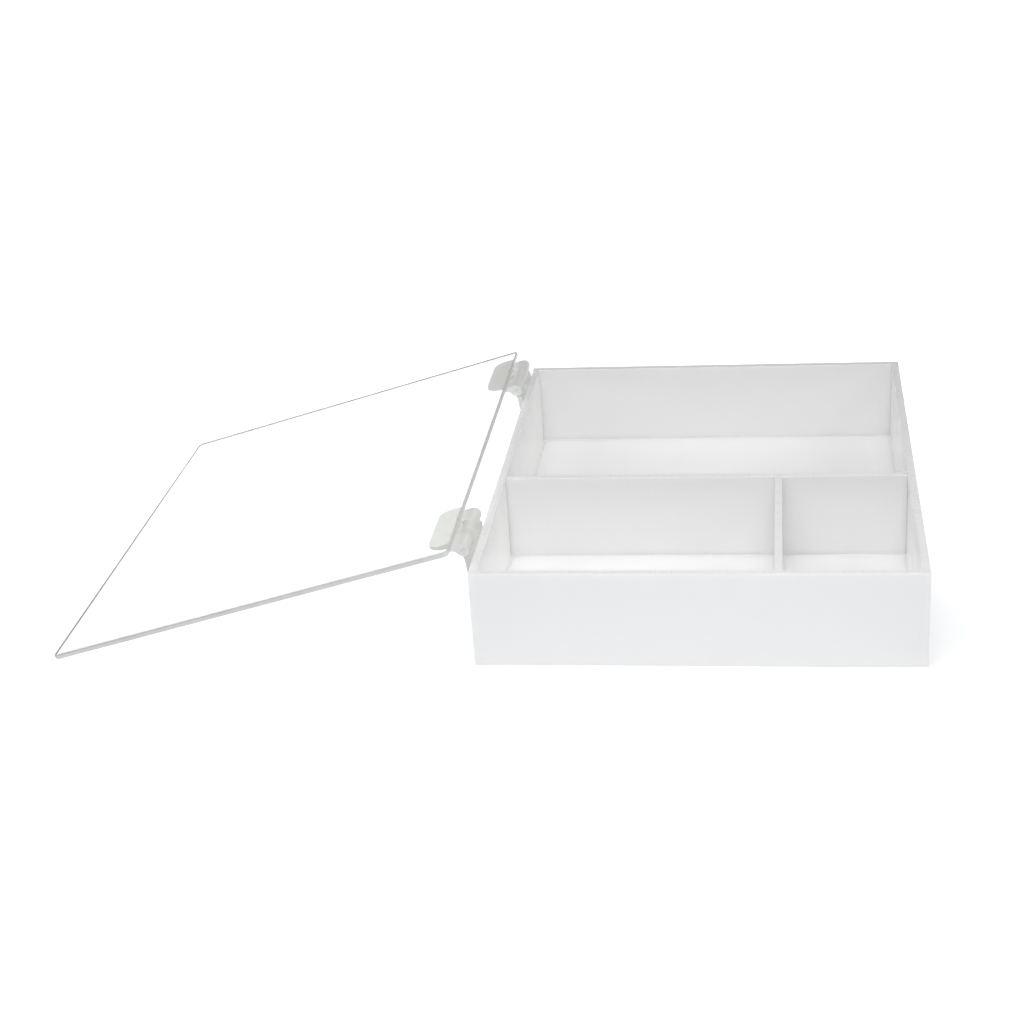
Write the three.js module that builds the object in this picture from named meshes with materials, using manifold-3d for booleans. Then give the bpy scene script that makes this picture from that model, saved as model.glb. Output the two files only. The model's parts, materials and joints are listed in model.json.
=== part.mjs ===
// A flat three-compartment sorting tray of white acrylic sheet with a clear lid
// on two translucent butt hinges. The panels are glued edge to edge, the hinge leaves
// are glued to the left wall and to the lid. Millimetres, +Z up. The origin is
// the centre of the tray's underside, the hinges are on the -X side, and the
// lid lies open to the left with its far edge just above the table.

import * as THREE from 'three';
import { mergeVertices } from 'three/addons/utils/BufferGeometryUtils.js';
import Module from 'manifold-3d';

// ---- driving dimensions -----------------------------------------------------

const TRAY_WIDTH = 160; // along X
const TRAY_DEPTH = 197; // along Y
const TRAY_HEIGHT = 37;
const SHEET = 3; // white sheet: walls, floor and dividers
const LONG_DIVIDER_Y = -17.5; // middle plane of the full-width divider
const SHORT_DIVIDER_X = 28.5; // middle plane of the divider in the front half

const LID_SHEET = 2;
const LID_SIDE_INSET = 0.2; // tray side to closed lid, left and right
const LID_END_INSET = 0.8; // the same at the front and back
const LID_CORNER_RADIUS = 2;
const LID_REST_GAP = 0.3; // closed lid above the rim
const LID_OPEN_DEG = 195.8; // from closed to lying open beside the tray

const HINGE_LENGTH = 30; // along Y
const HINGE_FROM_END = 24; // hinge centre to the nearer end of the tray
const BARREL_RADIUS = 2.5;
const PIN_RADIUS = 1;
const PIN_CLEARANCE = 0.05;
const PIN_CHAMFER = 0.15; // the pins end flush with the outer knuckles
const LEAF_REACH = 12.3; // pin axis to the leaf's outer edge
const LEAF_ROOT_THICKNESS = 2;
const LEAF_EDGE_THICKNESS = 1;
const LEAF_CORNER_RADIUS = 4.5;
const LEAF_FILLET = 2.5; // barrel into leaf
const KNUCKLES = 3; // the outer two on the lid leaf, the middle one on the wall leaf
const KNUCKLE_GAP = 0.3;
const NOTCH_CLEARANCE = 0.4; // leaf edge to the other leaf's knuckle
const GLUE_LINE = 0.1; // leaf to the panel it is glued to

const ARC_SEGMENTS = 10; // per quarter turn or fillet
const ROUND_SEGMENTS = 28; // full circles
const OVERCUT = 2; // cutting solids run this far past what they cut

// ---- places worked out from them ----------------------------------------------

const INNER_WIDTH = TRAY_WIDTH - 2 * SHEET;
const INNER_DEPTH = TRAY_DEPTH - 2 * SHEET;
const DIVIDER_HEIGHT = TRAY_HEIGHT - SHEET;
const FRONT_INNER_Y = -INNER_DEPTH / 2;

const LID_WIDTH = TRAY_WIDTH - 2 * LID_SIDE_INSET;
const LID_DEPTH = TRAY_DEPTH - 2 * LID_END_INSET;
const AXIS_X = -TRAY_WIDTH / 2 - GLUE_LINE - BARREL_RADIUS;
const AXIS_Z = TRAY_HEIGHT + LID_REST_GAP + LID_SHEET + GLUE_LINE + BARREL_RADIUS;
const HINGE_Y = TRAY_DEPTH / 2 - HINGE_FROM_END;

// ---- materials ------------------------------------------------------------------

const whiteAcrylic = new THREE.MeshStandardMaterial({
  name: 'white_acrylic', color: 0xeef0f2, roughness: 0.18, metalness: 0,
});
const clearAcrylic = new THREE.MeshStandardMaterial({
  name: 'clear_acrylic', color: 0xe9efee, roughness: 0.05, metalness: 0,
  transparent: true, opacity: 0.2,
});
const hingeAcrylic = new THREE.MeshStandardMaterial({
  name: 'hinge_acrylic', color: 0xd9dcd4, roughness: 0.35, metalness: 0,
  transparent: true, opacity: 0.7,
});

// ---- solids: three.js geometry in, booleans, three.js geometry out ---------------

const wasm = await Module();
wasm.setup();

function solid(geometry) {
  const bare = geometry.clone();
  bare.deleteAttribute('normal');
  bare.deleteAttribute('uv');
  const merged = mergeVertices(bare, 1e-4);
  return new wasm.Manifold(new wasm.Mesh({
    numProp: 3,
    vertProperties: new Float32Array(merged.attributes.position.array),
    triVerts: new Uint32Array(merged.index.array),
  }));
}

function geometryOf(manifold) {
  const mesh = manifold.getMesh();
  const geometry = new THREE.BufferGeometry();
  geometry.setAttribute('position', new THREE.BufferAttribute(mesh.vertProperties, 3));
  geometry.setIndex(new THREE.BufferAttribute(mesh.triVerts, 1));
  geometry.computeVertexNormals();
  return geometry;
}

function named(name, geometry, material) {
  const mesh = new THREE.Mesh(geometry, material.clone());
  mesh.name = name;
  return mesh;
}

// ---- tray panels -------------------------------------------------------------------

function panel(name, width, depth, height, x, y, z) {
  const mesh = named(name, new THREE.BoxGeometry(width, depth, height), whiteAcrylic);
  mesh.position.set(x, y, z + height / 2);
  return mesh;
}

// The front and back walls run the full width, the side walls fit between them,
// and the floor fits inside all four, so every wall reaches the table.
function trayPanels() {
  const shortDepth = LONG_DIVIDER_Y - SHEET / 2 - FRONT_INNER_Y;
  const wallX = (TRAY_WIDTH - SHEET) / 2;
  const wallY = (TRAY_DEPTH - SHEET) / 2;
  return [
    panel('base_panel', INNER_WIDTH, INNER_DEPTH, SHEET, 0, 0, 0),
    panel('front_wall', TRAY_WIDTH, SHEET, TRAY_HEIGHT, 0, -wallY, 0),
    panel('back_wall', TRAY_WIDTH, SHEET, TRAY_HEIGHT, 0, wallY, 0),
    panel('left_wall', SHEET, INNER_DEPTH, TRAY_HEIGHT, -wallX, 0, 0),
    panel('right_wall', SHEET, INNER_DEPTH, TRAY_HEIGHT, wallX, 0, 0),
    panel('long_divider', INNER_WIDTH, SHEET, DIVIDER_HEIGHT, 0, LONG_DIVIDER_Y, SHEET),
    panel('short_divider', SHEET, shortDepth, DIVIDER_HEIGHT,
      SHORT_DIVIDER_X, FRONT_INNER_Y + shortDepth / 2, SHEET),
  ];
}

// ---- hinges --------------------------------------------------------------------------
// A leaf is drawn with the pin axis along Y through its origin, the plate running
// towards +X and its glued face on the side of -Z.

// Cross-section: the round barrel, a fillet, and a plate that thins to its edge.
function leafSection() {
  const gluedFace = -BARREL_RADIUS;
  const rootTop = gluedFace + LEAF_ROOT_THICKNESS;
  const filletZ = rootTop + LEAF_FILLET;
  const filletX = Math.sqrt((BARREL_RADIUS + LEAF_FILLET) ** 2 - filletZ ** 2);
  const meetAngle = Math.atan2(filletZ, filletX);
  const shape = new THREE.Shape();
  shape.moveTo(LEAF_REACH, gluedFace);
  shape.lineTo(LEAF_REACH, gluedFace + LEAF_EDGE_THICKNESS);
  shape.lineTo(filletX, rootTop);
  shape.absarc(filletX, filletZ, LEAF_FILLET, -Math.PI / 2, meetAngle - Math.PI, true);
  shape.absarc(0, 0, BARREL_RADIUS, meetAngle, Math.PI * 1.5, false);
  shape.closePath();
  return shape;
}

// Outline seen square on, with the two outer corners rounded.
function leafOutline() {
  const half = HINGE_LENGTH / 2;
  const r = LEAF_CORNER_RADIUS;
  const shape = new THREE.Shape();
  shape.moveTo(-BARREL_RADIUS - OVERCUT, -half);
  shape.lineTo(LEAF_REACH - r, -half);
  shape.absarc(LEAF_REACH - r, r - half, r, -Math.PI / 2, 0, false);
  shape.absarc(LEAF_REACH - r, half - r, r, 0, Math.PI / 2, false);
  shape.lineTo(-BARREL_RADIUS - OVERCUT, half);
  shape.closePath();
  return shape;
}

function extruded(shape, depth) {
  return new THREE.ExtrudeGeometry(shape, {
    depth, bevelEnabled: false, curveSegments: ARC_SEGMENTS, steps: 1,
  });
}

// Knuckle places are counted from the -Y end; keep() says which this leaf has.
function leafGeometry(keep) {
  const section = extruded(leafSection(), HINGE_LENGTH);
  section.rotateX(Math.PI / 2).translate(0, HINGE_LENGTH / 2, 0);
  const outline = extruded(leafOutline(), 2 * BARREL_RADIUS + 2 * OVERCUT);
  outline.translate(0, 0, -BARREL_RADIUS - OVERCUT);
  let leaf = solid(section).intersect(solid(outline));

  const pitch = HINGE_LENGTH / KNUCKLES;
  const notchEnd = BARREL_RADIUS + NOTCH_CLEARANCE;
  const notchStart = -BARREL_RADIUS - OVERCUT;
  for (let place = 0; place < KNUCKLES; place += 1) {
    if (keep(place)) continue;
    const low = place === 0 ? -OVERCUT : -KNUCKLE_GAP / 2;
    const high = place === KNUCKLES - 1 ? OVERCUT : KNUCKLE_GAP / 2;
    const notch = new THREE.BoxGeometry(
      notchEnd - notchStart, pitch + high - low, 2 * (BARREL_RADIUS + OVERCUT));
    const middle = (place + 0.5) * pitch - HINGE_LENGTH / 2 + (low + high) / 2;
    notch.translate((notchStart + notchEnd) / 2, middle, 0);
    leaf = leaf.subtract(solid(notch));
  }
  const boreRadius = PIN_RADIUS + PIN_CLEARANCE;
  const bore = new THREE.CylinderGeometry(
    boreRadius, boreRadius, HINGE_LENGTH + 2 * OVERCUT, ROUND_SEGMENTS);
  return geometryOf(leaf.subtract(solid(bore)));
}

function pinGeometry() {
  const half = HINGE_LENGTH / 2;
  const profile = [
    [0, -half], [PIN_RADIUS - PIN_CHAMFER, -half], [PIN_RADIUS, PIN_CHAMFER - half],
    [PIN_RADIUS, half - PIN_CHAMFER], [PIN_RADIUS - PIN_CHAMFER, half], [0, half],
  ].map(([r, y]) => new THREE.Vector2(r, y));
  return new THREE.LatheGeometry(profile, ROUND_SEGMENTS);
}

const isOuterKnuckle = (place) => place === 0 || place === KNUCKLES - 1;
const isInnerKnuckle = (place) => !isOuterKnuckle(place);

// The wall leaf hangs down the left wall, turned over so its glued face looks to +X.
function fixedHingeHalf(end, y) {
  const half = new THREE.Group();
  const leaf = named(`${end}_hinge_wall_leaf`, leafGeometry(isInnerKnuckle), hingeAcrylic);
  leaf.rotation.set(Math.PI, Math.PI / 2, 0, 'YXZ');
  half.add(leaf, named(`${end}_hinge_pin`, pinGeometry(), hingeAcrylic));
  half.position.set(AXIS_X, y, AXIS_Z);
  return half;
}

// ---- lid ----------------------------------------------------------------------------

// Drawn closed about the pin axis: the sheet is below the leaves, which are on its top.
function lidPanelGeometry() {
  const r = LID_CORNER_RADIUS;
  const x0 = -LID_WIDTH / 2;
  const y0 = -LID_DEPTH / 2;
  const shape = new THREE.Shape();
  shape.moveTo(x0 + r, y0);
  shape.absarc(-x0 - r, y0 + r, r, -Math.PI / 2, 0, false);
  shape.absarc(-x0 - r, -y0 - r, r, 0, Math.PI / 2, false);
  shape.absarc(x0 + r, -y0 - r, r, Math.PI / 2, Math.PI, false);
  shape.absarc(x0 + r, y0 + r, r, Math.PI, Math.PI * 1.5, false);
  shape.closePath();
  const topFace = -BARREL_RADIUS - GLUE_LINE;
  return extruded(shape, LID_SHEET).translate(-AXIS_X, 0, topFace - LID_SHEET);
}

function lidGroup() {
  const lid = new THREE.Group();
  lid.add(named('lid_panel', lidPanelGeometry(), clearAcrylic));
  for (const [end, y] of [['front', -HINGE_Y], ['back', HINGE_Y]]) {
    const leaf = named(`${end}_hinge_lid_leaf`, leafGeometry(isOuterKnuckle), hingeAcrylic);
    leaf.position.y = y;
    lid.add(leaf);
  }
  lid.position.set(AXIS_X, 0, AXIS_Z);
  lid.rotation.y = -THREE.MathUtils.degToRad(LID_OPEN_DEG);
  return lid;
}

// ---- assembly --------------------------------------------------------------------------

const group = new THREE.Group();
group.add(...trayPanels());
group.add(fixedHingeHalf('front', -HINGE_Y), fixedHingeHalf('back', HINGE_Y));
group.add(lidGroup());

export default group;
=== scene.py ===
"""Looks of the three-compartment sorting tray: glued white acrylic sheet, a clear acrylic
lid lying open to the left, and two milky plastic butt hinges. Metres, in the CAD frame."""
import json
import math

import bmesh
import bpy
from mathutils import Matrix, Vector


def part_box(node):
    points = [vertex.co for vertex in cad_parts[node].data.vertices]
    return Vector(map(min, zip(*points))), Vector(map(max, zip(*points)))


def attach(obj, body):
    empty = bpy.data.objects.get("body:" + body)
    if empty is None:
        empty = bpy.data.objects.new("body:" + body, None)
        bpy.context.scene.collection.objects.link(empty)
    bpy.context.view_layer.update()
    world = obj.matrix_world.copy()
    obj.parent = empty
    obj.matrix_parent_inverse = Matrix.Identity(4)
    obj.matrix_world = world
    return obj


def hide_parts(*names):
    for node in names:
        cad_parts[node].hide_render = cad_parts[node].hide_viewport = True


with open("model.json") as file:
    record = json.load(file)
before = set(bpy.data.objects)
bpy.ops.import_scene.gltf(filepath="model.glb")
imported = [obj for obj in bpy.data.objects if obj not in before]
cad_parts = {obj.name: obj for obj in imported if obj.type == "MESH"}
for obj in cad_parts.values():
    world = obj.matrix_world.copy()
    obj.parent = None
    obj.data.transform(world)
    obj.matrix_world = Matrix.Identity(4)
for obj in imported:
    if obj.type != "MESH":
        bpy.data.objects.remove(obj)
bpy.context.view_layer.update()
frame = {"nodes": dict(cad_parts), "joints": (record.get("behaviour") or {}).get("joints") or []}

MM = 0.001

# ---- camera ----------------------------------------------------------------------------------

CAMERA_PLACE = (0.03075, -0.66064, 0.33533)
CAMERA_LENS_MM = 64.44
CAMERA_SENSOR_MM = 36.0
CAMERA_DOWN = math.radians(25.684)
CAMERA_LEFT = math.radians(9.395)
CAMERA_ROLL = math.radians(-4.469)

# ---- sizes of the detail ---------------------------------------------------------------------

EDGE_ROUND = 0.30 * MM       # polished outer edges of the white sheets
SEAM_SHARE = 0.15            # share of that on edges glued to a neighbour
BEAD = 0.7 * MM              # run of solvent cement along an inner corner
BEAD_STEPS = 5
LID_EDGE_ROUND = 0.55 * MM
LID_CREASE = math.radians(50)    # the lid is rounded where it turns more sharply
LID_CORNER = 2.0 * MM
LEAF_EDGE_ROUND = 0.30 * MM
LEAF_ROOT = 2.0 * MM         # leaf thickness at the barrel
LEAF_TIP = 1.0 * MM          # leaf thickness at its outer edge
LEAF_CORNER = 4.5 * MM
LEAF_FILLET = 2.5 * MM
KNUCKLES = 3
KNUCKLE_GAP = 0.3 * MM
NOTCH_CLEARANCE = 0.4 * MM
BORE_CLEARANCE = 0.05 * MM
PIN_DOME = 0.06 * MM
GLUE_LINE = 0.1 * MM
FILM_GAP = 0.01 * MM         # glue film to the sheets on either side
FILM_INSET = 0.3 * MM        # glue film short of the leaf's outline
ARC_STEPS = 16               # per quarter turn
DOME_STEPS = 5
PIN_SIDES = 40
OVERCUT = 2.0 * MM
SMOOTH_BELOW = math.radians(32)
ROUND_ABOVE = math.radians(40)   # a leaf is rounded where it turns more sharply
TOUCHING = MM / 10           # how near the rim or a side counts as on it

WHITE_PANELS = ("base_panel", "front_wall", "back_wall", "left_wall", "right_wall",
                "long_divider", "short_divider")
HINGE_ENDS = ("front", "back")
IOR_ACRYLIC = 1.49
OPAL_DEPTH = 1.3 * MM        # how far light wanders inside the white sheet
OPAL_SHARE = 0.6             # share of the white sheet's light that wanders
MARK_LEVELS = (0.76, 0.77)   # noise level where a mark is half strong, along X and along Y
MARK_SOFT = 0.05             # noise from there to none of the mark, or all of it
LID_EDGE_PAINTED_SHADE = 0.42          # share of their colour that the lid's cut edges keep from within, as painted shade
MILKY = ((0.84, 0.845, 0.825), (0.87, 0.875, 0.855))     # darkest and palest hinge tint

# ---- studio ----------------------------------------------------------------------------------

FLOOR_HALF = 6.0
FLOOR_THICK = 0.01
# The floor's emission is painted light: an even glow that keeps it white in the tray's shade.
FLOOR_GLOW = 0.25
FAR_GLOW = 0.95              # painted glow behind the tray, standing for a lit backdrop
GLOW_STEP = (-0.06, 0.16)    # from FLOOR_GLOW to FAR_GLOW between these places along Y
LEFT_GLOW = 0.22             # painted pool of light added under the lid, so the floor seen through it stays white
LEFT_GLOW_STEP = (-0.26, -0.12)  # from LEFT_GLOW to none between these places along X
ROOM_HORIZON = (0.030, 0.032, 0.035)
ROOM_ZENITH = (0.29, 0.29, 0.29)
# name, place, (width, height) in metres, power in watts, colour
LAMPS = (
    ("softbox_over", (0.0, -0.21, 0.37), (0.3, 0.25), 0.82, (1.0, 1.0, 1.0)),
    ("softbox_right", (1.06, -0.19, 0.90), (1.0, 0.7), 4.4, (1.0, 0.998, 0.99)),
    ("softbox_left", (-1.06, -0.19, 0.90), (1.0, 0.7), 3.4, (1.0, 1.0, 1.0)),
)

# ---- places read from the frame --------------------------------------------------------------

hinge_joint = frame["joints"][0]
PIN_AXIS = Vector(hinge_joint["pos_m"])
LID_TURN = math.radians(hinge_joint["range_deg"][1])
# Lid-local space: the lid closed, with the origin on the pin axis.
LID_TO_WORLD = Matrix.Translation(PIN_AXIS) @ Matrix.Rotation(-LID_TURN, 4, "Y")


def local_box(node, to_world):
    """Lowest and highest corner of a CAD node in the space that to_world comes from."""
    back = to_world.inverted()
    points = [back @ v.co for v in frame["nodes"][node].data.vertices]
    return (Vector(min(p[i] for p in points) for i in range(3)),
            Vector(max(p[i] for p in points) for i in range(3)))


# ---- materials -------------------------------------------------------------------------------

class Shader:
    """A material's node tree, with short calls that add nodes and link them."""

    def __init__(self, name):
        self.material = bpy.data.materials.new(name)
        self.material.use_nodes = True
        self.tree = self.material.node_tree
        self.tree.nodes.clear()

    def put(self, kind, inputs=None, **settings):
        node = self.tree.nodes.new(kind)
        for key, value in settings.items():
            setattr(node, key, value)
        for key, value in (inputs or {}).items():
            if isinstance(value, bpy.types.NodeSocket):
                self.tree.links.new(value, node.inputs[key])
            else:
                node.inputs[key].default_value = value
        return node

    def place(self, scale=(1, 1, 1)):
        own = self.put("ShaderNodeTexCoord").outputs["Object"]
        return self.put("ShaderNodeMapping", {"Vector": own, "Scale": scale}).outputs["Vector"]

    def noise(self, vector, scale, detail=3.0, rough=0.5):
        inputs = {"Vector": vector, "Scale": scale, "Detail": detail, "Roughness": rough}
        return self.put("ShaderNodeTexNoise", inputs).outputs["Fac"]

    def remap(self, value, low, high, out_low, out_high):
        inputs = {"Value": value, "From Min": low, "From Max": high,
                  "To Min": out_low, "To Max": out_high}
        return self.put("ShaderNodeMapRange", inputs, clamp=True).outputs["Result"]

    def math(self, operation, first, second):
        return self.put("ShaderNodeMath", {0: first, 1: second}, operation=operation).outputs[0]

    def ramp(self, value, *stops):
        node = self.put("ShaderNodeValToRGB", {"Fac": value})
        elements = node.color_ramp.elements
        while len(elements) < len(stops):
            elements.new(0.5)
        for element, (position, colour) in zip(elements, stops):
            element.position = position
            element.color = (*colour, 1)
        return node.outputs["Color"]

    def bump(self, height, distance, strength=1.0, below=None):
        inputs = {"Height": height, "Distance": distance, "Strength": strength}
        if below is not None:
            inputs["Normal"] = below
        return self.put("ShaderNodeBump", inputs).outputs["Normal"]

    def finish(self, surface):
        self.put("ShaderNodeOutputMaterial", {"Surface": surface})
        return self.material


def scratches(shader, scale, level):
    """0 almost everywhere, up to 1 in thin streaks along the stretched direction."""
    streaks = shader.noise(shader.place(scale), 1.0, detail=2.0, rough=0.4)
    return shader.remap(streaks, level - MARK_SOFT, level + MARK_SOFT, 0.0, 1.0)


def white_face():
    """Glossy face of opaque white cast sheet: faint cloudiness, handling marks, slight waves."""
    s = Shader("white_acrylic_face")
    cloud = s.noise(s.place(), 24.0, detail=4.0, rough=0.6)
    colour = s.ramp(cloud, (0.3, (0.955, 0.957, 0.954)), (0.7, (0.966, 0.968, 0.965)))
    marks = s.math("MAXIMUM", scratches(s, (30, 1500, 260), MARK_LEVELS[0]),
                   scratches(s, (1400, 40, 300), MARK_LEVELS[1]))
    haze = s.remap(s.noise(s.place(), 70.0, detail=5.0), 0.35, 0.7, 0.16, 0.19)
    roughness = s.math("ADD", haze, s.math("MULTIPLY", marks, 0.04))
    waves = s.bump(s.noise(s.place(), 22.0, detail=1.0), 0.06 * MM)
    grain = s.bump(s.noise(s.place(), 900.0, detail=2.0), 0.0012 * MM, below=waves)
    normal = s.bump(marks, 0.0008 * MM, 0.4, below=grain)
    surface = s.put("ShaderNodeBsdfPrincipled", {
        "Base Color": colour, "Roughness": roughness, "Normal": normal, "IOR": IOR_ACRYLIC,
        "Subsurface Weight": OPAL_SHARE, "Subsurface Radius": (1.0, 1.0, 1.0),
        "Subsurface Scale": OPAL_DEPTH})
    return s.finish(surface.outputs["BSDF"])


def white_edge(thin_axis):
    """Cut edge of the same sheet: satin, with fine cutter lines across the thickness."""
    s = Shader("white_acrylic_edge_" + "xyz"[thin_axis])
    scale = [2600.0] * 3
    scale[thin_axis] = 60.0
    lines = s.noise(s.place(scale), 1.0, detail=2.0, rough=0.6)
    cloud = s.noise(s.place(), 60.0, detail=3.0)
    colour = s.ramp(cloud, (0.3, (0.835, 0.838, 0.835)), (0.7, (0.855, 0.858, 0.855)))
    roughness = s.remap(lines, 0.3, 0.7, 0.26, 0.34)
    normal = s.bump(lines, 0.0010 * MM, 0.4)
    surface = s.put("ShaderNodeBsdfPrincipled", {
        "Base Color": colour, "Roughness": roughness, "Normal": normal, "IOR": IOR_ACRYLIC,
        "Subsurface Weight": OPAL_SHARE, "Subsurface Radius": (1.0, 1.0, 1.0),
        "Subsurface Scale": OPAL_DEPTH})
    return s.finish(surface.outputs["BSDF"])


def cement():
    """Set solvent cement: nearly white, wet-looking, a little lumpy."""
    s = Shader("solvent_cement")
    lumps = s.noise(s.place(), 260.0, detail=3.0)
    colour = s.ramp(lumps, (0.3, (0.87, 0.875, 0.87)), (0.7, (0.90, 0.905, 0.90)))
    roughness = s.remap(lumps, 0.3, 0.7, 0.06, 0.14)
    normal = s.bump(lumps, 0.05 * MM)
    surface = s.put("ShaderNodeBsdfPrincipled", {
        "Base Color": colour, "Roughness": roughness, "Normal": normal, "IOR": IOR_ACRYLIC})
    return s.finish(surface.outputs["BSDF"])


def acrylic(name, tint_low, tint_high, rough_low, rough_high, wave_scale, wave_height,
            see_through=1.0, shade=0.97, within_painted_shade=1.0):
    """Clear or milky plastic. see_through is the share of light that passes and bends, and shade
    the share of lamp light that each surface lets through. The last argument is the share of its
    colour that the surface keeps for light that meets it from within the sheet: painted shade for the
    light that the sheet's edges lose inside it."""
    s = Shader(name)
    waves = s.noise(s.place(), wave_scale, detail=2.0)
    fine = s.noise(s.place(), 9.0 * wave_scale, detail=3.0)
    colour = s.ramp(waves, (0.3, tint_low), (0.7, tint_high))
    # Painted shade: the colour darkens where the surface is met from within the sheet.
    if within_painted_shade < 1.0:
        within = s.put("ShaderNodeNewGeometry").outputs["Backfacing"]
        value = s.remap(within, 0.0, 1.0, 1.0, within_painted_shade)
        dimmed = s.put("ShaderNodeHueSaturation", {"Color": colour, "Value": value})
        colour = dimmed.outputs["Color"]
    roughness = s.remap(fine, 0.35, 0.7, rough_low, rough_high)
    normal = s.bump(waves, wave_height)
    glass = s.put("ShaderNodeBsdfPrincipled", {
        "Base Color": colour, "Roughness": roughness, "Normal": normal, "IOR": IOR_ACRYLIC,
        "Transmission Weight": see_through})
    open_to_lamps = s.put("ShaderNodeBsdfTransparent", {"Color": (shade, shade, shade, 1)})
    shadow_ray = s.put("ShaderNodeLightPath").outputs["Is Shadow Ray"]
    mixed = s.put("ShaderNodeMixShader", {
        0: shadow_ray, 1: glass.outputs["BSDF"], 2: open_to_lamps.outputs["BSDF"]})
    return s.finish(mixed.outputs["Shader"])


def floor_material():
    """Pale studio table with painted light: its emission keeps it white in the tray's shade, rises
    behind the tray to stand for a lit backdrop, and adds a pool under the lid.
    """
    s = Shader("studio_floor")
    tone = s.noise(s.place(), 1.5, detail=2.0)
    colour = s.ramp(tone, (0.3, (0.885, 0.900, 0.915)), (0.7, (0.905, 0.920, 0.935)))
    place = s.put("ShaderNodeSeparateXYZ", {"Vector": s.place()})
    behind = s.remap(place.outputs["Y"], *GLOW_STEP, FLOOR_GLOW, FAR_GLOW)
    left = s.remap(place.outputs["X"], *LEFT_GLOW_STEP, LEFT_GLOW, 0.0)
    # Painted light: emission strength that rises behind the tray and under the lid.
    glow = s.math("ADD", behind, left)
    surface = s.put("ShaderNodeBsdfPrincipled", {
        "Base Color": colour, "Roughness": 0.9, "Emission Color": (0.97, 0.985, 1.0, 1),
        "Emission Strength": glow})
    return s.finish(surface.outputs["BSDF"])


# ---- mesh helpers ----------------------------------------------------------------------------

def new_object(name, mesh, *materials):
    piece = bpy.data.objects.new(name, mesh)
    bpy.context.scene.collection.objects.link(piece)
    for material in materials:
        mesh.materials.append(material)
    return piece


def mesh_from(name, bm):
    bmesh.ops.recalc_face_normals(bm, faces=bm.faces)
    mesh = bpy.data.meshes.new(name)
    bm.to_mesh(mesh)
    bm.free()
    return mesh


def settle(piece):
    """Applies the modifiers."""
    graph = bpy.context.evaluated_depsgraph_get()
    piece.data = bpy.data.meshes.new_from_object(piece.evaluated_get(graph))
    piece.modifiers.clear()


def smooth_but_corners(mesh):
    mesh.shade_smooth()
    mesh.set_sharp_from_angle(angle=SMOOTH_BELOW)


def round_edges(piece, width, segments, limit, **more):
    """Rounds the edges that limit picks, and keeps flat faces flat to the eye."""
    smooth_but_corners(piece.data)
    bevel = piece.modifiers.new("rounded_edges", "BEVEL")
    bevel.width = width
    bevel.segments = segments
    bevel.limit_method = limit
    bevel.harden_normals = True
    for key, value in more.items():
        setattr(bevel, key, value)
    settle(piece)


def prism(name, outline, low, high, up=2):
    """Closed prism of a flat outline. up is the axis that it is drawn out along."""
    bm = bmesh.new()
    rings = []
    for level in (low, high):
        ring = []
        for first, second in outline:
            co = [first, second]
            co.insert(up, level)
            ring.append(bm.verts.new(co))
        rings.append(ring)
    count = len(outline)
    for i in range(count):
        j = (i + 1) % count
        bm.faces.new((rings[0][i], rings[0][j], rings[1][j], rings[1][i]))
    bm.faces.new(reversed(rings[0]))
    bm.faces.new(rings[1])
    return mesh_from(name, bm)


def arc(cx, cy, radius, start, end, steps=ARC_STEPS):
    """Points of an arc, both ends included, angles in radians."""
    return [(cx + radius * math.cos(start + (end - start) * i / steps),
             cy + radius * math.sin(start + (end - start) * i / steps))
            for i in range(steps + 1)]


def box_mesh(name, low, high):
    corners = [(low[0], low[1]), (high[0], low[1]), (high[0], high[1]), (low[0], high[1])]
    return prism(name, corners, low[2], high[2])


def cut(piece, tool_mesh, operation="DIFFERENCE"):
    """Cuts the tool away from the piece, or keeps only what lies within it."""
    tool = new_object("tool", tool_mesh)
    modifier = piece.modifiers.new("cut", "BOOLEAN")
    modifier.operation = operation
    modifier.solver = "EXACT"
    modifier.object = tool
    settle(piece)
    bpy.data.objects.remove(tool)


# ---- white panels ----------------------------------------------------------------------------

TRAY_LOW = Vector(min(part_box(n)[0][i] for n in WHITE_PANELS) for i in range(3))
TRAY_HIGH = Vector(max(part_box(n)[1][i] for n in WHITE_PANELS) for i in range(3))


def is_open_edge(a, b):
    """True if an edge is on the tray's rim or on one of its outer corners."""
    middle = (a + b) / 2
    on_rim = middle.z > TRAY_HIGH.z - TOUCHING
    outside = [abs(middle[i] - limit[i]) < TOUCHING
               for limit in (TRAY_LOW, TRAY_HIGH) for i in range(3)]
    along_rim = on_rim and abs(a.z - b.z) < TOUCHING
    return along_rim or sum(outside) >= 2


def white_panel(node, face, edges):
    low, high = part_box(node)
    size = high - low
    thin = min(range(3), key=lambda i: size[i])
    mesh = box_mesh(node + "_sheet", low, high)
    piece = new_object(node + "_sheet", mesh, face, edges[thin])
    for polygon in mesh.polygons:
        polygon.material_index = 0 if abs(polygon.normal[thin]) > 0.5 else 1
    weights = mesh.attributes.new("bevel_weight_edge", "FLOAT", "EDGE")
    for edge in mesh.edges:
        a, b = (mesh.vertices[i].co for i in edge.vertices)
        weights.data[edge.index].value = 1.0 if is_open_edge(a, b) else SEAM_SHARE
    round_edges(piece, EDGE_ROUND, 3, "WEIGHT")
    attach(piece, "tray")
    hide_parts(node)


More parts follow.
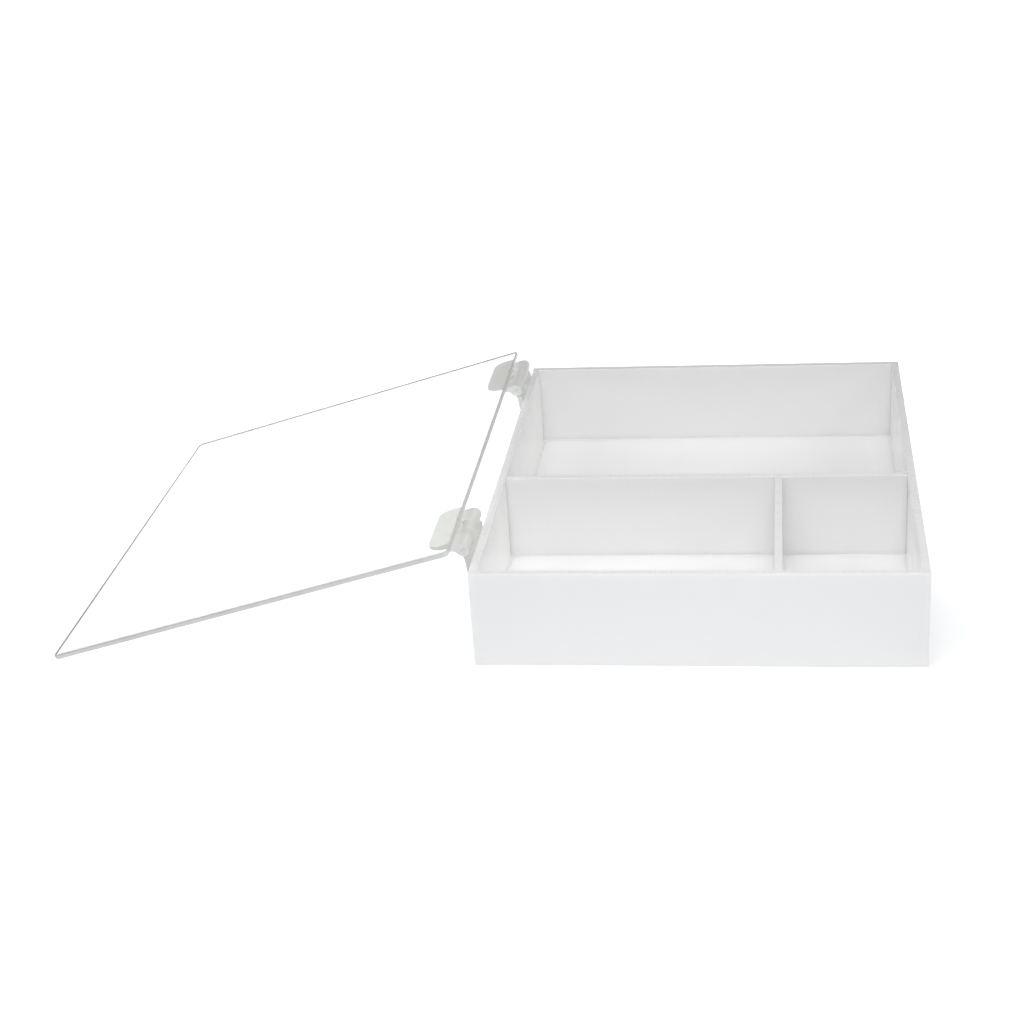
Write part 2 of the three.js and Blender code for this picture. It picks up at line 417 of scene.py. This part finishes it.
def cement_bead(name, low, high, material):
    """Concave run of cement round the foot of one compartment, mitred at the corners."""
    profile = [(0, 0), (BEAD, 0)]
    profile += [(BEAD - BEAD * math.sin(t * math.pi / 2 / BEAD_STEPS),
                 BEAD - BEAD * math.cos(t * math.pi / 2 / BEAD_STEPS))
                for t in range(1, BEAD_STEPS)]
    profile.append((0, BEAD))
    bm = bmesh.new()
    rings = []
    for inset, height in profile:
        x0, y0, x1, y1 = low.x + inset, low.y + inset, high.x - inset, high.y - inset
        rings.append([bm.verts.new((x, y, low.z + height))
                      for x, y in ((x0, y0), (x1, y0), (x1, y1), (x0, y1))])
    for ring, following in zip(rings, rings[1:] + rings[:1]):
        for i in range(4):
            j = (i + 1) % 4
            bm.faces.new((ring[i], ring[j], following[j], following[i]))
    piece = new_object(name, mesh_from(name, bm), material)
    smooth_but_corners(piece.data)
    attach(piece, "tray")


# ---- lid -------------------------------------------------------------------------------------

def rounded_outline(low, high, radius, steps=ARC_STEPS):
    quarter = math.pi / 2
    centres = ((high.x - radius, low.y + radius, -quarter), (high.x - radius, high.y - radius, 0),
               (low.x + radius, high.y - radius, quarter), (low.x + radius, low.y + radius, math.pi))
    return [p for cx, cy, start in centres for p in arc(cx, cy, radius, start, start + quarter, steps)]


def lid_sheet(face, edge, arris):
    low, high = local_box("lid_panel", LID_TO_WORLD)
    mesh = prism("lid_sheet", rounded_outline(low, high, LID_CORNER), low.z, high.z)
    piece = new_object("lid_sheet", mesh, face, edge, arris)
    for polygon in mesh.polygons:
        polygon.material_index = 0 if abs(polygon.normal.z) > 0.5 else 1
    round_edges(piece, LID_EDGE_ROUND, 3, "ANGLE", angle_limit=LID_CREASE, material=2)
    piece.matrix_world = LID_TO_WORLD
    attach(piece, "lid")
    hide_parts("lid_panel")


# ---- hinges ----------------------------------------------------------------------------------

def leaf_space(end, leaf):
    """Leaf-local space: pin axis along Y at the origin, plate towards +X, glued face at -Z."""
    low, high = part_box(f"{end}_hinge_pin")
    along = Matrix.Translation((0, (low.y + high.y) / 2, 0))
    if leaf == "lid":
        return LID_TO_WORLD @ along
    turned_down = Matrix.Rotation(math.pi / 2, 4, "Y") @ Matrix.Rotation(math.pi, 4, "X")
    return Matrix.Translation(PIN_AXIS) @ along @ turned_down


def pin_radius(end):
    low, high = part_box(f"{end}_hinge_pin")
    return (high.x - low.x) / 2


def leaf_section(barrel, reach):
    """Round barrel, fillet, and a plate that thins to its outer edge."""
    root = LEAF_ROOT - barrel
    fillet_z = root + LEAF_FILLET
    fillet_x = math.sqrt((barrel + LEAF_FILLET) ** 2 - fillet_z ** 2)
    meet = math.atan2(fillet_z, fillet_x)
    points = [(reach, -barrel), (reach, LEAF_TIP - barrel)]
    points += arc(fillet_x, fillet_z, LEAF_FILLET, -math.pi / 2, meet - math.pi)
    points += arc(0, 0, barrel, meet, 1.5 * math.pi, 3 * ARC_STEPS)[1:]
    return points


def leaf_outline(low_x, reach, half, corner):
    points = [(low_x, -half)]
    points += arc(reach - corner, corner - half, corner, -math.pi / 2, 0)
    points += arc(reach - corner, half - corner, corner, 0, math.pi / 2)
    points.append((low_x, half))
    return points


def weigh_corners(mesh, bore):
    """Marks the corners to round: all but the rims of the bore, which lie within its radius."""
    bm = bmesh.new()
    bm.from_mesh(mesh)
    weight = bm.edges.layers.float.new("bevel_weight_edge")
    for edge in bm.edges:
        at_bore = all(math.hypot(vert.co.x, vert.co.z) < bore for vert in edge.verts)
        if not at_bore and edge.calc_face_angle(0.0) > ROUND_ABOVE:
            edge[weight] = 1.0
    bm.to_mesh(mesh)
    bm.free()


def hinge_leaf(end, leaf, body, places, material):
    """One half of a butt hinge. places are the knuckles it has, counted from the -Y end."""
    node = f"{end}_hinge_{leaf}_leaf"
    space = leaf_space(end, leaf)
    low, high = local_box(node, space)
    barrel, reach, half = -low.z, high.x, high.y
    beyond = barrel + OVERCUT
    section = prism(node, leaf_section(barrel, reach), -half, half, up=1)
    piece = new_object(node + "_moulded", section, material)
    cut(piece, prism("outline", leaf_outline(-beyond, reach, half, LEAF_CORNER),
                     -beyond, beyond), "INTERSECT")
    pitch = 2 * half / KNUCKLES
    for place in set(range(KNUCKLES)) - set(places):
        below = OVERCUT if place == 0 else KNUCKLE_GAP / 2
        above = OVERCUT if place == KNUCKLES - 1 else KNUCKLE_GAP / 2
        start = place * pitch - half
        cut(piece, box_mesh("notch", (-beyond, start - below, -beyond),
                            (barrel + NOTCH_CLEARANCE, start + pitch + above, beyond)))
    circle = arc(0, 0, pin_radius(end) + BORE_CLEARANCE, 0, 2 * math.pi, 3 * ARC_STEPS)[:-1]
    cut(piece, prism("bore", circle, -half - OVERCUT, half + OVERCUT, up=1))
    weigh_corners(piece.data, pin_radius(end) + 2 * BORE_CLEARANCE)
    round_edges(piece, LEAF_EDGE_ROUND, 2, "WEIGHT")
    piece.matrix_world = space
    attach(piece, body)
    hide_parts(node)


def hinge_pin(end, material):
    """Rod with slightly domed ends."""
    low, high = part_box(f"{end}_hinge_pin")
    middle, radius, half = (low + high) / 2, pin_radius(end), (high.y - low.y) / 2
    quarter = [i * math.pi / 2 / DOME_STEPS for i in range(DOME_STEPS + 1)]
    side = [(radius * math.cos(t), half - PIN_DOME + PIN_DOME * math.sin(t)) for t in quarter]
    profile = [(r, -y) for r, y in reversed(side)] + side
    bm = bmesh.new()
    rings = []
    for r, y in profile:
        if r < MM / 1000:
            rings.append([bm.verts.new((0, y, 0))])
            continue
        turn = [2 * math.pi * i / PIN_SIDES for i in range(PIN_SIDES)]
        rings.append([bm.verts.new((r * math.cos(t), y, r * math.sin(t))) for t in turn])
    for a, b in zip(rings, rings[1:]):
        for i in range(PIN_SIDES):
            j = (i + 1) % PIN_SIDES
            loop = [a[i % len(a)], a[j % len(a)], b[j % len(b)], b[i % len(b)]]
            bm.faces.new(dict.fromkeys(loop))
    piece = new_object(f"{end}_hinge_rod", mesh_from("rod", bm), material)
    smooth_but_corners(piece.data)
    piece.location = middle
    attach(piece, "tray")
    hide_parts(f"{end}_hinge_pin")


def glue_film(end, leaf, body, panel, material):
    """Cement between a leaf and the sheet that it is fixed to."""
    space = leaf_space(end, leaf)
    low, high = local_box(f"{end}_hinge_{leaf}_leaf", space)
    sheet_edge = local_box(panel, space)[0].x
    start = max(-low.z + NOTCH_CLEARANCE, sheet_edge) + FILM_INSET
    outline = leaf_outline(start, high.x - FILM_INSET, high.y - FILM_INSET,
                           LEAF_CORNER - FILM_INSET)
    mesh = prism("film", outline, low.z - GLUE_LINE + FILM_GAP, low.z - FILM_GAP)
    piece = new_object(f"{end}_hinge_{leaf}_glue", mesh, material)
    smooth_but_corners(piece.data)
    piece.matrix_world = space
    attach(piece, body)


# ---- the object ------------------------------------------------------------------------------

white = white_face()
cut_edges = [white_edge(axis) for axis in range(3)]
for panel_name in WHITE_PANELS:
    white_panel(panel_name, white, cut_edges)

bead = cement()
floor_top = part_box("base_panel")[1].z
base_low, base_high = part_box("base_panel")
long_low, long_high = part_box("long_divider")
short_low, short_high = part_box("short_divider")
cement_bead("cement_back", Vector((base_low.x, long_high.y, floor_top)), base_high, bead)
cement_bead("cement_front_left", Vector((base_low.x, base_low.y, floor_top)),
            Vector((short_low.x, long_low.y, floor_top)), bead)
cement_bead("cement_front_right", Vector((short_high.x, base_low.y, floor_top)),
            Vector((base_high.x, long_low.y, floor_top)), bead)

lid_face = acrylic("lid_acrylic_face", (0.990, 0.991, 0.990), (0.996, 0.997, 0.996),
                   0.0, 0.02, 26.0, 0.02 * MM)
# Both lid edge materials are darkened from within the sheet as painted shade.
lid_edge = acrylic("lid_acrylic_edge", (0.90, 0.90, 0.89), (0.93, 0.93, 0.92),
                   0.12, 0.24, 240.0, 0.03 * MM, see_through=0.2, within_painted_shade=LID_EDGE_PAINTED_SHADE)
# Painted shade: the arris's grey tint paints the dark lines along the lid's rounded edges; its
# roughness is real.
lid_arris = acrylic("lid_acrylic_arris", (0.64, 0.64, 0.63), (0.73, 0.73, 0.72),
                    0.25, 0.45, 240.0, 0.03 * MM, see_through=0.1, within_painted_shade=LID_EDGE_PAINTED_SHADE)
lid_sheet(lid_face, lid_edge, lid_arris)

hinge_milky = acrylic("hinge_acrylic_moulded", *MILKY, 0.28, 0.40, 320.0, 0.03 * MM,
                      see_through=0.45, shade=0.85)
rod_milky = acrylic("pin_acrylic", *MILKY, 0.26, 0.38, 500.0, 0.01 * MM,
                    see_through=0.45, shade=0.85)
film = acrylic("glue_film", (0.90, 0.91, 0.88), (0.93, 0.94, 0.91), 0.20, 0.35, 420.0, 0.01 * MM,
               see_through=0.2, shade=0.9)
outer_knuckles = (0, KNUCKLES - 1)
inner_knuckles = tuple(range(1, KNUCKLES - 1))
for hinge_end in HINGE_ENDS:
    hinge_leaf(hinge_end, "wall", "tray", inner_knuckles, hinge_milky)
    hinge_leaf(hinge_end, "lid", "lid", outer_knuckles, hinge_milky)
    hinge_pin(hinge_end, rod_milky)
    glue_film(hinge_end, "wall", "tray", "left_wall", film)
    glue_film(hinge_end, "lid", "lid", "lid_panel", film)

# ---- studio ----------------------------------------------------------------------------------

def studio_floor(material):
    corners = [(-FLOOR_HALF, -FLOOR_HALF), (FLOOR_HALF, -FLOOR_HALF),
               (FLOOR_HALF, FLOOR_HALF), (-FLOOR_HALF, FLOOR_HALF)]
    sheet = new_object("studio_floor", prism("studio_floor", corners, -FLOOR_THICK, 0), material)


def softbox(name, place, size, power, colour):
    """Rectangular area light that looks at the middle of the tray."""
    lamp = bpy.data.lights.new(name, "AREA")
    lamp.shape = "RECTANGLE"
    lamp.size, lamp.size_y = size
    lamp.energy = power
    lamp.color = colour
    holder = bpy.data.objects.new(name, lamp)
    holder.location = place
    holder.rotation_euler = (-Vector(place)).to_track_quat("-Z", "Y").to_euler()
    bpy.context.scene.collection.objects.link(holder)


def room_light():
    """Even grey room, darker towards the horizon, so that clear edges have something to bend."""
    world = bpy.data.worlds.new("room")
    world.use_nodes = True
    nodes, links = world.node_tree.nodes, world.node_tree.links
    background = nodes["Background"]
    direction = nodes.new("ShaderNodeTexCoord")
    split = nodes.new("ShaderNodeSeparateXYZ")
    ramp = nodes.new("ShaderNodeValToRGB")
    low, high = ramp.color_ramp.elements
    low.position, low.color = 0.0, (*ROOM_HORIZON, 1)
    high.position, high.color = 0.6, (*ROOM_ZENITH, 1)
    links.new(direction.outputs["Generated"], split.inputs[0])
    links.new(split.outputs["Z"], ramp.inputs["Fac"])
    links.new(ramp.outputs["Color"], background.inputs["Color"])
    background.inputs["Strength"].default_value = 1.0
    bpy.context.scene.world = world


studio_floor(floor_material())
for lamp_row in LAMPS:
    softbox(*lamp_row)
room_light()
bpy.context.scene.view_settings.view_transform = "Standard"

camera = bpy.data.objects.new("camera", bpy.data.cameras.new("camera"))
camera.data.lens = CAMERA_LENS_MM
camera.data.sensor_width = CAMERA_SENSOR_MM
camera.data.clip_start = 0.01
camera.location = CAMERA_PLACE
camera.rotation_euler = (Matrix.Rotation(CAMERA_LEFT, 3, "Z")
                         @ Matrix.Rotation(math.pi / 2 - CAMERA_DOWN, 3, "X")
                         @ Matrix.Rotation(CAMERA_ROLL, 3, "Z")).to_euler()
bpy.context.scene.collection.objects.link(camera)
bpy.context.scene.camera = camera
